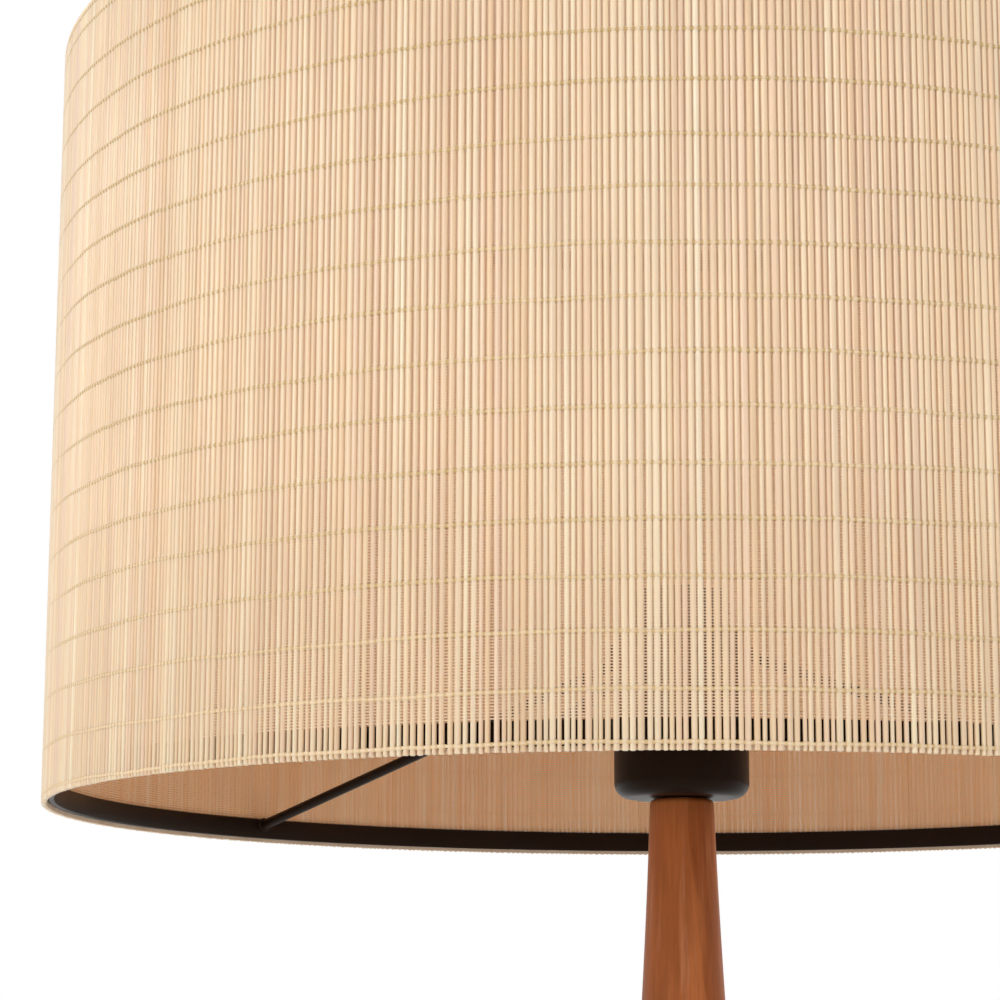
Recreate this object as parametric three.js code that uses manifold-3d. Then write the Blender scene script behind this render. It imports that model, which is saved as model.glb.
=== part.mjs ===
// Floor lamp: a drum shade of upright reeds on a turned wooden column with a round weighted base.
// Lengths are in millimetres and +Z is up. The origin is on the floor, at the centre of the base.

import * as THREE from 'three';
import { mergeVertices } from 'three/addons/utils/BufferGeometryUtils.js';
import Module from 'manifold-3d';

const wasm = await Module();
wasm.setup();

// Clearances
const seatGap = 0.3; // between pieces that touch in use
const cutOverrun = 2; // how far a cutting tool runs past what it cuts

// Shade
const shadeRadius = 228.5; // outside of the reeds
const shadeHeight = 273;
const shadeRimHeight = 1251; // floor to the shade's lower edge
const reedMatThickness = 2.2;
const bandHeight = 7.9;
const bandThickness = 2;
const bandInset = 1.5; // reed ends stand out past each band by this much
const linerThickness = 0.6;

// Spider
const armCount = 3;
const firstArmTurn = THREE.MathUtils.degToRad(140.4); // from +X towards +Y
const armRadius = 2;
const armSeatShare = 0.7; // where an arm meets the lower band, as a share of its height
const hubRadius = 27;
const hubThickness = 4;

// Ring nut that clamps the hub
const ringNutRadius = 24.5;
const ringNutHeight = 5;
const ringNutGripDepth = 0.8;
const ringNutGrips = 24;

// Cup round the lamp holder
const cupRise = 5.6; // shade rim to the underside of the cup
const cupRadius = 24.4;
const cupHeight = 50.4;
const cupWall = 1.2;
const cupCorner = 5.5;

// Lamp holder
const holderSocketRadius = 18.1; // outside of the part that the ring nut runs on
const holderSocketHeight = 24.7; // above the hub's underside
const holderBodyRadius = 20;
const holderFlangeRadius = 22.6;
const holderFlangeThickness = 3;
const holderShellWall = 1.8;
const holderLipDepth = 2.1; // how far the top lip reaches in over the core
const holderLipThickness = 2;
const holderLapHeight = 6; // length of the joint between cap and shell
const holderLapWall = 1.3;
const holderCapRadius = 19;
const holderCapHeight = 23;
const holderCapFloor = 3;
const holderCapCorner = 3;
const holderLedgeWidth = 3.3; // ledge in the cap that the core stands on
const holderLedgeHeight = 4;
const coreFloorHeight = 24;
const coreWall = 1.8;
const coreWireRecess = 6; // radius and depth of the wire space under the core

// Contacts of the lamp holder
const screwShellHeight = 29;
const screwShellWall = 0.6;
const screwThreadPitch = 3.6;
const screwThreadDepth = 1;
const contactRadius = 4.5;
const contactHeight = 1.5;
const terminalHeadRadius = 2.6;
const terminalHeadHeight = 2;
const terminalShankRadius = 1.5;
const terminalShankLength = 9;
const terminalSpread = 9; // from the axis to each terminal screw

// Turn switch at the back of the cup
const switchRise = 20.4; // underside of the cup to the switch's axis
const switchShaftRadius = 2.5;
const switchShaftStart = 8; // from the lamp's axis to the inner end of the shaft
const switchCupHole = 3.6; // radius of the hole in the cup
const knobRadius = 8; // half the width of the paddle
const knobCollarRadius = 5.8;
const knobCollarLength = 4;
const knobPaddleLength = 11;
const knobPaddleThickness = 5;
const knobStandoff = 0.8; // between the cup and the knob
const knobBoreDepth = 10;

// Lamp pipe and its fasteners
const pipeRadius = 5;
const pipeWall = 1.4;
const couplerWall = 2.5;
const couplerLength = 30;
const nutFlats = 17; // across the flats
const cupNutHeight = 4;
const cupWasherRadius = 11;
const cupWasherThickness = 1.2;
const baseNutHeight = 5.8;
const baseWasherRadius = 20;
const baseWasherThickness = 1.4;
const pipeOvershoot = 1; // beyond the base nut
const pipeStub = 2; // above the floor of the holder's cap

// Column
const neckRadius = 11.5;
const neckSpread = 11; // growth of the radius that the neck's slope would give down to the belly
const shoulderRounding = 2;
const bellyRadius = 29;
const bellyDrop = 345; // column top to its widest place
const ankleRadius = 16.5;
const ankleRise = 112; // column foot to its narrowest place
const footRadius = 23;
const footSpread = 13; // growth of the radius that the foot's slope would give over the ankle
const jointBevel = 1;
const spigotRadius = 11;
const spigotLength = 14;
const sectionShares = [0, 0.335, 0.665, 1]; // of the column's length

// Collar at the foot of the column
const collarFloor = 4;
const collarRecess = 9;
const collarRim = 2.2;
const collarFlare = 6; // how much wider the collar is at its foot
const collarFootHeight = 3;

// Base
const padThickness = 2.5;
const padInset = 9; // from the edge of the base
const padBore = 31;
const baseRadius = 140;
const baseHeight = 23; // cover's lower edge to its top
const baseCrown = 4; // how much the top rises towards the centre
const baseEdgeRounding = 6;
const coverWall = 1.2;
const nutRecessRadius = 26;
const nutRecessDepth = 11;

// Cord outlet
const grommetBore = 3.4;
const grommetNeckRadius = 5.2;
const grommetFlangeRadius = 6;
const grommetFlangeThickness = 1.6;
const grommetRise = 6.5; // cover's lower edge to the outlet's axis
const grommetTail = 5; // length inside the cover
const channelSide = 0.6; // clearance at each side of the grommet in the channel

// Facets round each piece
const shadeSides = 72;
const baseSides = 48;
const columnSides = 32;
const holderSides = 28;
const smallSides = 16;
const rodSides = 12;
const cornerSteps = 3; // facets round a rounded edge
const sideSteps = 6; // facets along each column section

// Heights that follow
const hubBottom = shadeRimHeight + cupRise + cupHeight + seatGap;
const cupBottom = shadeRimHeight + cupRise;
const cupFloorTop = cupBottom + cupWall;
const cupTop = cupBottom + cupHeight;
const ringNutBottom = hubBottom + hubThickness + seatGap;
const columnTop = cupBottom - seatGap;
const coverBottom = padThickness + seatGap;
const coverTop = coverBottom + baseHeight;
const collarBottom = coverTop + seatGap;
const columnFoot = collarBottom + collarFloor + seatGap;
const columnLength = columnTop - columnFoot;
const cupWasherBottom = cupFloorTop + seatGap;
const cupNutBottom = cupWasherBottom + cupWasherThickness + seatGap;
const holderCapBottom = cupNutBottom + cupNutHeight + seatGap;
const holderCapTop = holderCapBottom + holderCapHeight;
const holderCoreBottom = holderCapBottom + holderCapFloor + holderLedgeHeight + seatGap;
const holderTop = hubBottom + holderSocketHeight;
const coreFloorTop = holderCoreBottom + coreFloorHeight;
const coreTop = holderTop - holderLipThickness - seatGap;
const baseWasherBottom = coverBottom + nutRecessDepth - seatGap - baseWasherThickness;
const baseNutBottom = baseWasherBottom - seatGap - baseNutHeight;
const pipeBottom = baseNutBottom - pipeOvershoot;
const pipeTop = holderCapBottom + holderCapFloor + pipeStub;
const middleBottom = columnFoot + columnLength * sectionShares[1];
const pipeJoint = middleBottom - spigotLength + couplerLength / 2 + seatGap;
const switchHeight = cupBottom + switchRise;
const outletHeight = coverBottom + grommetRise;

// Radii that follow
const matInnerRadius = shadeRadius - reedMatThickness;
const bandOuterRadius = matInnerRadius - seatGap;
const bandInnerRadius = bandOuterRadius - bandThickness;
const pipeBore = pipeRadius + seatGap; // bore of whatever the pipe runs through
const holderInnerRadius = holderSocketRadius - holderShellWall;
const coreRadius = holderInnerRadius - seatGap;
const coreInnerRadius = coreRadius - coreWall;
const screwShellRadius = coreInnerRadius - seatGap;
const weightRadius = baseRadius - coverWall - seatGap;
const padRadius = baseRadius - padInset;

// Finishes
const finishes = {
  reed: { color: 0xe6cfa6, roughness: 0.7, metalness: 0 },
  liner: { color: 0xd9b48c, roughness: 0.9, metalness: 0 },
  blackMetal: { color: 0x1b1816, roughness: 0.42, metalness: 0.3 },
  wood: { color: 0x7a4526, roughness: 0.45, metalness: 0 },
  steel: { color: 0xa9abad, roughness: 0.35, metalness: 0.9 },
  brass: { color: 0xc9a24e, roughness: 0.3, metalness: 0.9 },
  castIron: { color: 0x3a3a3c, roughness: 0.8, metalness: 0.4 },
  phenolic: { color: 0x141211, roughness: 0.35, metalness: 0 },
  ceramic: { color: 0xe9e6df, roughness: 0.3, metalness: 0 },
  rubber: { color: 0x1c1c1c, roughness: 0.85, metalness: 0 },
  felt: { color: 0x2a2826, roughness: 1, metalness: 0 },
};

const lamp = new THREE.Group();

function add(name, geometry, finish) {
  const mesh = new THREE.Mesh(geometry, new THREE.MeshStandardMaterial(finishes[finish]));
  mesh.name = name;
  lamp.add(mesh);
  return mesh;
}

// A ring-shaped solid turned about the vertical axis from a closed outline of [radius, height] points.
// The outline runs up its outer side and down its inner side.
function turned(outline, sides) {
  const geometry = turnedAlongY(outline, sides);
  geometry.rotateX(Math.PI / 2);
  return geometry;
}

function turnedAlongY(outline, sides) {
  const points = outline.map(([radius, height]) => new THREE.Vector2(radius, height));
  points.push(points[0].clone());
  return new THREE.LatheGeometry(points, sides);
}

function tube(outerRadius, innerRadius, bottom, top, sides) {
  const outline = [
    [innerRadius, bottom],
    [outerRadius, bottom],
    [outerRadius, top],
    [innerRadius, top],
  ];
  return turned(outline, sides);
}

// Points on an arc in an outline, from one angle to another in quarter turns
function arc(centreRadius, centreHeight, radius, fromQuarter, toQuarter) {
  const points = [];
  for (let step = 0; step <= cornerSteps; step += 1) {
    const angle = (Math.PI / 2) * (fromQuarter + ((toQuarter - fromQuarter) * step) / cornerSteps);
    points.push([centreRadius + radius * Math.cos(angle), centreHeight + radius * Math.sin(angle)]);
  }
  return points;
}

// A round rod from one height or depth to another, along the local Y axis
function rod(radius, start, end, sides) {
  const geometry = new THREE.CylinderGeometry(radius, radius, end - start, sides);
  geometry.translate(0, (start + end) / 2, 0);
  return geometry;
}

// A flat outline pushed up from one height to another
function prism(shape, bottom, top) {
  const geometry = new THREE.ExtrudeGeometry(shape, {
    depth: top - bottom,
    bevelEnabled: false,
    curveSegments: smallSides,
  });
  geometry.translate(0, 0, bottom);
  return geometry;
}

function toSolid(geometry) {
  const bare = geometry.index ? geometry.toNonIndexed() : geometry.clone();
  bare.deleteAttribute('normal');
  bare.deleteAttribute('uv');
  const merged = mergeVertices(bare);
  const mesh = new wasm.Mesh({
    numProp: 3,
    vertProperties: Float32Array.from(merged.attributes.position.array),
    triVerts: Uint32Array.from(merged.index.array),
  });
  return new wasm.Manifold(mesh);
}

function toGeometry(solid) {
  const mesh = solid.getMesh();
  const geometry = new THREE.BufferGeometry();
  geometry.setAttribute('position', new THREE.BufferAttribute(Float32Array.from(mesh.vertProperties), 3));
  geometry.setIndex(new THREE.BufferAttribute(Uint32Array.from(mesh.triVerts), 1));
  geometry.computeVertexNormals();
  return geometry;
}

function cut(geometry, tools) {
  let solid = toSolid(geometry);
  for (const tool of tools) {
    solid = solid.subtract(toSolid(tool));
  }
  return toGeometry(solid);
}

// Smooth change from one value to another, with a given slope at each end of a unit length
function eased(share, startValue, endValue, startSlope, endSlope) {
  const square = share * share;
  const cube = square * share;
  const startWeight = 2 * cube - 3 * square + 1;
  const startSlopeWeight = cube - 2 * square + share;
  const endWeight = 3 * square - 2 * cube;
  const endSlopeWeight = cube - square;
  const ends = startWeight * startValue + endWeight * endValue;
  return ends + startSlopeWeight * startSlope + endSlopeWeight * endSlope;
}

// Radius of the turned column: a flaring neck, a long belly and a spreading foot
function columnRadius(height) {
  const drop = columnTop - height;
  const rise = height - columnFoot;
  if (drop <= bellyDrop) {
    return eased(drop / bellyDrop, neckRadius, bellyRadius, neckSpread, 0);
  }
  if (rise <= ankleRise) {
    return eased(1 - rise / ankleRise, ankleRadius, footRadius, 0, footSpread);
  }
  const taperLength = columnLength - bellyDrop - ankleRise;
  return eased((drop - bellyDrop) / taperLength, bellyRadius, ankleRadius, 0, 0);
}

function columnSide(bottom, top) {
  const points = [];
  for (let step = 0; step <= sideSteps; step += 1) {
    const height = bottom + ((top - bottom) * step) / sideSteps;
    points.push([columnRadius(height), height]);
  }
  return points;
}

function addBase() {
  const pad = tube(padRadius, padBore, 0, padThickness, baseSides);
  add('base_pad', pad, 'felt');
  add('base_weight', baseWeight(), 'castIron');
  add('base_cover', baseCover(), 'blackMetal');
  addGrommet();

  const washerTop = baseWasherBottom + baseWasherThickness;
  add('base_washer', tube(baseWasherRadius, pipeBore, baseWasherBottom, washerTop, smallSides), 'steel');
  add('base_nut', hexNut(baseNutBottom, baseNutHeight), 'steel');
}

// Outer or inner side of the base's crowned disc, from its lower edge to the bore for the pipe
function crownedSide(inset) {
  const radius = baseRadius - inset;
  const rounding = baseEdgeRounding - inset;
  const top = coverTop - inset;
  const shoulder = top - baseCrown;
  const seatRadius = footRadius + seatGap + collarRim + collarFlare;
  return [
    [radius, coverBottom],
    ...arc(radius - rounding, shoulder - rounding, rounding, 0, 1),
    [seatRadius, top],
    [pipeBore, top],
  ];
}

function baseWeight() {
  const side = crownedSide(coverWall + seatGap);
  const recessTop = coverBottom + nutRecessDepth;
  const outline = [...side, [pipeBore, recessTop], [nutRecessRadius, recessTop], [nutRecessRadius, coverBottom]];
  const channelWidth = 2 * (grommetNeckRadius + channelSide);
  const channelTop = outletHeight + grommetNeckRadius + channelSide;
  const channelHeight = channelTop - coverBottom + cutOverrun;
  const channelLength = weightRadius + cutOverrun;
  const channel = new THREE.BoxGeometry(channelWidth, channelLength, channelHeight);
  channel.translate(0, channelLength / 2, channelTop - channelHeight / 2);
  return cut(turned(outline, baseSides), [channel]);
}

function baseCover() {
  const outer = crownedSide(0);
  const inner = crownedSide(coverWall).reverse();
  const hole = rod(grommetNeckRadius + seatGap, baseRadius - grommetTail, baseRadius + cutOverrun, smallSides);
  hole.translate(0, 0, outletHeight);
  return cut(turned([...outer, ...inner], baseSides), [hole]);
}

// Flanged rubber bush for the cord, in the rear of the cover
function addGrommet() {
  const flangeStart = baseRadius + seatGap;
  const flangeEnd = flangeStart + grommetFlangeThickness;
  const tailEnd = baseRadius - grommetTail;
  const outline = [
    [grommetBore, tailEnd],
    [grommetNeckRadius, tailEnd],
    [grommetNeckRadius, flangeStart],
    [grommetFlangeRadius, flangeStart],
    [grommetFlangeRadius, flangeEnd],
    [grommetBore, flangeEnd],
  ];
  const grommet = add('cord_grommet', turnedAlongY(outline, smallSides), 'rubber');
  grommet.position.z = outletHeight;
}

function hexNut(bottom, height) {
  const cornerRadius = nutFlats / 2 / Math.cos(Math.PI / 6);
  const shape = new THREE.Shape();
  for (let corner = 0; corner < 6; corner += 1) {
    const angle = (corner * Math.PI) / 3;
    const point = [cornerRadius * Math.cos(angle), cornerRadius * Math.sin(angle)];
    if (corner === 0) {
      shape.moveTo(...point);
    } else {
      shape.lineTo(...point);
    }
  }
  shape.closePath();
  const bore = new THREE.Path();
  bore.absarc(0, 0, pipeBore, 0, 2 * Math.PI, true);
  shape.holes.push(bore);
  return prism(shape, bottom, bottom + height);
}

function addColumn() {
  add('foot_collar', footCollar(), 'blackMetal');
  const names = ['column_lower', 'column_middle', 'column_upper'];
  names.forEach((name, index) => {
    const isLowest = index === 0;
    const isHighest = index === names.length - 1;
    const bottom = columnFoot + columnLength * sectionShares[index] + (isLowest ? 0 : seatGap);
    const top = columnFoot + columnLength * sectionShares[index + 1];
    const upperEnd = isHighest ? roundedShoulder() : bevelledMortise(top);
    const lowerEnd = isLowest ? plainFoot() : spigot(bottom, index === 1);
    const side = columnSide(bottom + jointBevel, upperEnd.start);
    add(name, turned([...lowerEnd, ...side, ...upperEnd.points], columnSides), 'wood');
  });
}

// Lower end of the lowest section, from the bore outwards
function plainFoot() {
  return [
    [pipeBore, columnFoot],
    [columnRadius(columnFoot) - jointBevel, columnFoot],
  ];
}

// Lower end of an upper section: a spigot, bored wider where the pipe's coupler sits in it
function spigot(bottom, holdsCoupler) {
  const spigotBottom = bottom - spigotLength;
  const outside = [
    [spigotRadius, spigotBottom],
    [spigotRadius, bottom],
    [columnRadius(bottom) - jointBevel, bottom],
  ];
  if (!holdsCoupler) {
    return [[pipeBore, spigotBottom], ...outside];
  }
  const pocketRadius = pipeBore + couplerWall + seatGap;
  const pocketTop = pipeJoint + couplerLength / 2 + seatGap;
  return [[pipeBore, pocketTop], [pocketRadius, pocketTop], [pocketRadius, spigotBottom], ...outside];
}

// Upper end of a lower section: a bevelled edge and a mortise for the next section's spigot
function bevelledMortise(top) {
  const mortiseRadius = spigotRadius + seatGap;
  const mortiseFloor = top - spigotLength;
  return {
    start: top - jointBevel,
    points: [
      [columnRadius(top) - jointBevel, top],
      [mortiseRadius, top],
      [mortiseRadius, mortiseFloor],
      [pipeBore, mortiseFloor],
    ],
  };
}

function roundedShoulder() {
  const start = columnTop - shoulderRounding;
  const centreRadius = columnRadius(start) - shoulderRounding;
  const corner = arc(centreRadius, start, shoulderRounding, 0, 1).slice(1);
  return { start, points: [...corner, [pipeBore, columnTop]] };
}

function footCollar() {
  const recessRadius = footRadius + seatGap;
  const rimRadius = recessRadius + collarRim;
  const footOuterRadius = rimRadius + collarFlare;
  const recessFloor = collarBottom + collarFloor;
  const rimTop = recessFloor + collarRecess;
  const shoulder = collarBottom + collarFootHeight;
  const coveSize = rimTop - shoulder;
  const cove = [];
  for (let step = 0; step <= cornerSteps; step += 1) {
    const angle = ((Math.PI / 2) * step) / cornerSteps;
    cove.push([footOuterRadius - collarFlare * Math.sin(angle), rimTop - coveSize * Math.cos(angle)]);
  }
  const outline = [
    [pipeBore, collarBottom],
    [footOuterRadius, collarBottom],
    ...cove,
    [recessRadius, rimTop],
    [recessRadius, recessFloor],
    [pipeBore, recessFloor],
  ];
  return turned(outline, columnSides);
}

function addPipe() {
  const boreRadius = pipeRadius - pipeWall;
  add('pipe_lower', tube(pipeRadius, boreRadius, pipeBottom, pipeJoint, smallSides), 'steel');
  add('pipe_upper', tube(pipeRadius, boreRadius, pipeJoint + seatGap, pipeTop, smallSides), 'steel');
  const couplerBottom = pipeJoint - couplerLength / 2;
  const couplerTop = couplerBottom + couplerLength;
  add('pipe_coupler', tube(pipeBore + couplerWall, pipeBore, couplerBottom, couplerTop, smallSides), 'steel');
}

function addCup() {
  add('holder_cup', holderCup(), 'blackMetal');
  const washerTop = cupWasherBottom + cupWasherThickness;
  add('cup_washer', tube(cupWasherRadius, pipeBore, cupWasherBottom, washerTop, smallSides), 'steel');
  add('cup_nut', hexNut(cupNutBottom, cupNutHeight), 'steel');
}

function holderCup() {
  const innerRadius = cupRadius - cupWall;
  const innerCorner = cupCorner - cupWall;
  const centreRadius = cupRadius - cupCorner;
  const centreHeight = cupBottom + cupCorner;
  const outline = [
    [pipeBore, cupBottom],
    ...arc(centreRadius, centreHeight, cupCorner, -1, 0),
    [cupRadius, cupTop],
    [innerRadius, cupTop],
    ...arc(centreRadius, centreHeight, innerCorner, 0, -1),
    [pipeBore, cupFloorTop],
  ];
  const hole = rod(switchCupHole, cupRadius - cupCorner, cupRadius + cutOverrun, smallSides);
  hole.translate(0, 0, switchHeight);
  return cut(turned(outline, holderSides), [hole]);
}

function addHolder() {
  add('holder_cap', holderCap(), 'phenolic');
  add('holder_core', holderCore(), 'ceramic');
  add('holder_shell', holderShell(), 'phenolic');
  add('screw_shell', screwShell(), 'brass');
  const contactBottom = coreFloorTop + seatGap;
  const contact = rod(contactRadius, contactBottom, contactBottom + contactHeight, smallSides);
  contact.rotateX(Math.PI / 2);
  add('centre_contact', contact, 'brass');
  add('terminal_screw_1', terminalScrew(-1), 'brass');
  add('terminal_screw_2', terminalScrew(1), 'brass');
}

// A hole towards the back for the switch's shaft
function shaftHole(start, end) {
  const hole = rod(switchShaftRadius + seatGap, start, end, smallSides);
  hole.translate(0, 0, switchHeight);
  return hole;
}

function holderCap() {
  const ledgeRadius = coreRadius - holderLedgeWidth;
  const ledgeTop = holderCapBottom + holderCapFloor + holderLedgeHeight;
  const lapRadius = holderInnerRadius + holderLapWall;
  const outline = [
    [pipeBore, holderCapBottom],
    ...arc(holderCapRadius - holderCapCorner, holderCapBottom + holderCapCorner, holderCapCorner, -1, 0),
    [holderCapRadius, holderCapTop],
    [lapRadius, holderCapTop],
    [lapRadius, holderCapTop + holderLapHeight],
    [holderInnerRadius, holderCapTop + holderLapHeight],
    [holderInnerRadius, ledgeTop],
    [ledgeRadius, ledgeTop],
    [ledgeRadius, holderCapBottom + holderCapFloor],
    [pipeBore, holderCapBottom + holderCapFloor],
  ];
  return cut(turned(outline, holderSides), [shaftHole(switchShaftStart, holderCapRadius + cutOverrun)]);
}

function holderCore() {
  const recessTop = holderCoreBottom + coreWireRecess;
  const outline = [
    [0, recessTop],
    [coreWireRecess, recessTop],
    [coreWireRecess, holderCoreBottom],
    [coreRadius, holderCoreBottom],
    [coreRadius, coreTop],
    [coreInnerRadius, coreTop],
    [coreInnerRadius, coreFloorTop],
    [0, coreFloorTop],
  ];
  const geometry = turned(outline, holderSides);
  const tools = [shaftHole(switchShaftStart - seatGap, coreRadius + cutOverrun)];
  for (const side of [-1, 1]) {
    const shankTop = holderCoreBottom + terminalShankLength + seatGap;
    const hole = rod(terminalShankRadius + seatGap, holderCoreBottom - cutOverrun, shankTop, rodSides);
    hole.rotateX(Math.PI / 2);
    hole.translate(side * terminalSpread, 0, 0);
    tools.push(hole);
  }
  return cut(geometry, tools);
}

function holderShell() {
  const bottom = holderCapTop + seatGap;
  const lapTop = holderCapTop + holderLapHeight + seatGap;
  const lapRadius = holderInnerRadius + holderLapWall + seatGap;
  const flangeTop = hubBottom - seatGap;
  const flangeBottom = flangeTop - holderFlangeThickness;
  const lipRadius = holderInnerRadius - holderLipDepth;
  const lipBottom = holderTop - holderLipThickness;
  const outline = [
    [lapRadius, bottom],
    [holderBodyRadius, bottom],
    [holderBodyRadius, flangeBottom],
    [holderFlangeRadius, flangeBottom],
    [holderFlangeRadius, flangeTop],
    [holderSocketRadius, flangeTop],
    [holderSocketRadius, holderTop],
    [lipRadius, holderTop],
    [lipRadius, lipBottom],
    [holderInnerRadius, lipBottom],
    [holderInnerRadius, lapTop],
    [lapRadius, lapTop],
  ];
  return turned(outline, holderSides);
}

// Thin sleeve with the rounds of the lamp thread pressed into it
function screwShell() {
  const bottom = coreFloorTop + seatGap;
  const rounds = Math.floor(screwShellHeight / screwThreadPitch);
  const outer = [];
  for (let half = 0; half <= 2 * rounds; half += 1) {
    const radius = screwShellRadius - (half % 2 === 0 ? 0 : screwThreadDepth);
    outer.push([radius, bottom + (half * screwThreadPitch) / 2]);
  }
  const inner = outer.map(([radius, height]) => [radius - screwShellWall, height]).reverse();
  return turned([...outer, ...inner], smallSides);
}

// One of the two terminal screws in the underside of the core
function terminalScrew(side) {
  const headTop = holderCoreBottom - seatGap;
  const outline = [
    [0, headTop - terminalHeadHeight],
    [terminalHeadRadius, headTop - terminalHeadHeight],
    [terminalHeadRadius, headTop],
    [terminalShankRadius, headTop],
    [terminalShankRadius, headTop + terminalShankLength],
    [0, headTop + terminalShankLength],
  ];
  const screw = turned(outline, rodSides);
  screw.translate(side * terminalSpread, 0, 0);
  return screw;
}

function addSwitch() {
  const knobStart = cupRadius + knobStandoff;
  const shaftEnd = knobStart + knobBoreDepth - seatGap;
  const shaft = add('switch_shaft', rod(switchShaftRadius, switchShaftStart, shaftEnd, rodSides), 'brass');
  shaft.position.z = switchHeight;

  const collarEnd = knobStart + knobCollarLength;
  const collar = toSolid(rod(knobCollarRadius, knobStart, collarEnd, smallSides));
  const paddle = new THREE.Shape();
  const straight = knobRadius - knobPaddleThickness / 2;
  paddle.absarc(straight, 0, knobPaddleThickness / 2, -Math.PI / 2, Math.PI / 2, false);
  paddle.absarc(-straight, 0, knobPaddleThickness / 2, Math.PI / 2, (3 * Math.PI) / 2, false);
  const wing = prism(paddle, collarEnd, collarEnd + knobPaddleLength);
  wing.rotateX(-Math.PI / 2);
  const bore = toSolid(rod(switchShaftRadius + seatGap, knobStart - cutOverrun, knobStart + knobBoreDepth, rodSides));
  const knob = collar.add(toSolid(wing)).subtract(bore);
  add('switch_knob', toGeometry(knob), 'phenolic').position.z = switchHeight;
}

function addSpider() {
  const boreRadius = holderSocketRadius + seatGap;
  add('spider_hub', tube(hubRadius, boreRadius, hubBottom, hubBottom + hubThickness, holderSides), 'blackMetal');
  add('shade_ring', ringNut(boreRadius), 'blackMetal');

  const start = new THREE.Vector2(hubRadius, hubBottom + hubThickness / 2);
  const end = new THREE.Vector2(bandInnerRadius, shadeRimHeight + bandInset + bandHeight * armSeatShare);
  const run = end.clone().sub(start);
  const tilt = Math.atan2(-run.y, run.x);
  const endGap = seatGap + armRadius * Math.sin(tilt);
  const length = run.length() - 2 * endGap;
  const middle = start.clone().add(end).multiplyScalar(1 / 2);
  for (let arm = 0; arm < armCount; arm += 1) {
    const geometry = new THREE.CylinderGeometry(armRadius, armRadius, length, rodSides);
    geometry.rotateZ(-Math.PI / 2);
    geometry.rotateY(tilt);
    geometry.translate(middle.x, 0, middle.y);
    const mesh = add(`spider_arm_${arm + 1}`, geometry, 'blackMetal');
    mesh.rotation.z = firstArmTurn + (arm * 2 * Math.PI) / armCount;
  }
}

// Ring nut with small grip notches round its rim
function ringNut(boreRadius) {
  const shape = new THREE.Shape();
  const points = 2 * ringNutGrips;
  for (let index = 0; index < points; index += 1) {
    const angle = (2 * Math.PI * index) / points;
    const inNotch = index % 2 === 1;
    const radius = ringNutRadius - (inNotch ? ringNutGripDepth : 0);
    const place = [radius * Math.cos(angle), radius * Math.sin(angle)];
    if (index === 0) {
      shape.moveTo(...place);
    } else {
      shape.lineTo(...place);
    }
  }
  shape.closePath();
  const bore = new THREE.Path();
  bore.absarc(0, 0, boreRadius, 0, 2 * Math.PI, true);
  shape.holes.push(bore);
  return prism(shape, ringNutBottom, ringNutBottom + ringNutHeight);
}

function addShade() {
  const top = shadeRimHeight + shadeHeight;
  const lowerBandBottom = shadeRimHeight + bandInset;
  const lowerBandTop = lowerBandBottom + bandHeight;
  const upperBandTop = top - bandInset;
  const upperBandBottom = upperBandTop - bandHeight;
  const lowerBand = tube(bandOuterRadius, bandInnerRadius, lowerBandBottom, lowerBandTop, shadeSides);
  add('shade_bottom_ring', lowerBand, 'blackMetal');
  const upperBand = tube(bandOuterRadius, bandInnerRadius, upperBandBottom, upperBandTop, shadeSides);
  add('shade_top_ring', upperBand, 'blackMetal');

  const linerBottom = lowerBandTop + seatGap;
  const linerTop = upperBandBottom - seatGap;
  const linerInnerRadius = bandOuterRadius - linerThickness;
  add('shade_liner', tube(bandOuterRadius, linerInnerRadius, linerBottom, linerTop, shadeSides), 'liner');
  add('shade_reeds', tube(shadeRadius, matInnerRadius, shadeRimHeight, top, shadeSides), 'reed');
}

addBase();
addColumn();
addPipe();
addCup();
addHolder();
addSwitch();
addSpider();
addShade();

export default lamp;
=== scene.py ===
import math
import random

import bmesh
import bpy
from mathutils import Matrix, Vector


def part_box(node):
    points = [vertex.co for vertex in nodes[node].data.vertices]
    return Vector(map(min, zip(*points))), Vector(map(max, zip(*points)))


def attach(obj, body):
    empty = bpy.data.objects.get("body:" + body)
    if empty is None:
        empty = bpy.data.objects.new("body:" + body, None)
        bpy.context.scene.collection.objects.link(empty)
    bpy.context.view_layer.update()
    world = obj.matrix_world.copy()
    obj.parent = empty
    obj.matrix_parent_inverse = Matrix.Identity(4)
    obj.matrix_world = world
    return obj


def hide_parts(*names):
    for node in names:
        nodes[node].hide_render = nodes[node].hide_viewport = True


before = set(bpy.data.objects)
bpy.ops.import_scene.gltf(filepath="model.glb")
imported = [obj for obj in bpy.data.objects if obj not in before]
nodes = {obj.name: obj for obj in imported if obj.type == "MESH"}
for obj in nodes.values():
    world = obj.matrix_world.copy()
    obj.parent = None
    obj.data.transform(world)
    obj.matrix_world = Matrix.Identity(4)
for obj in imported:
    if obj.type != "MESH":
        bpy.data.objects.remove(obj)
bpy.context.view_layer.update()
fullTurn = 2 * math.pi
print("frame loaded:", len(nodes), "nodes")


# camera at the photograph's place: a little below the shade's rim, close to it
photoView = {
    "lens": 104.185,
    "distance": 1.0483,
    "belowRim": 0.08276,
    "pitch": 0.1868,  # radians above the horizon
    "turn": 0.06299,  # radians towards -X
    "roll": 0.00339,  # radians, camera tipped to its left
}

shadeLow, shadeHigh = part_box("shade_reeds")
rimHeight, shadeTop, shadeRadius = shadeLow.z, shadeHigh.z, shadeHigh.x

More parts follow.
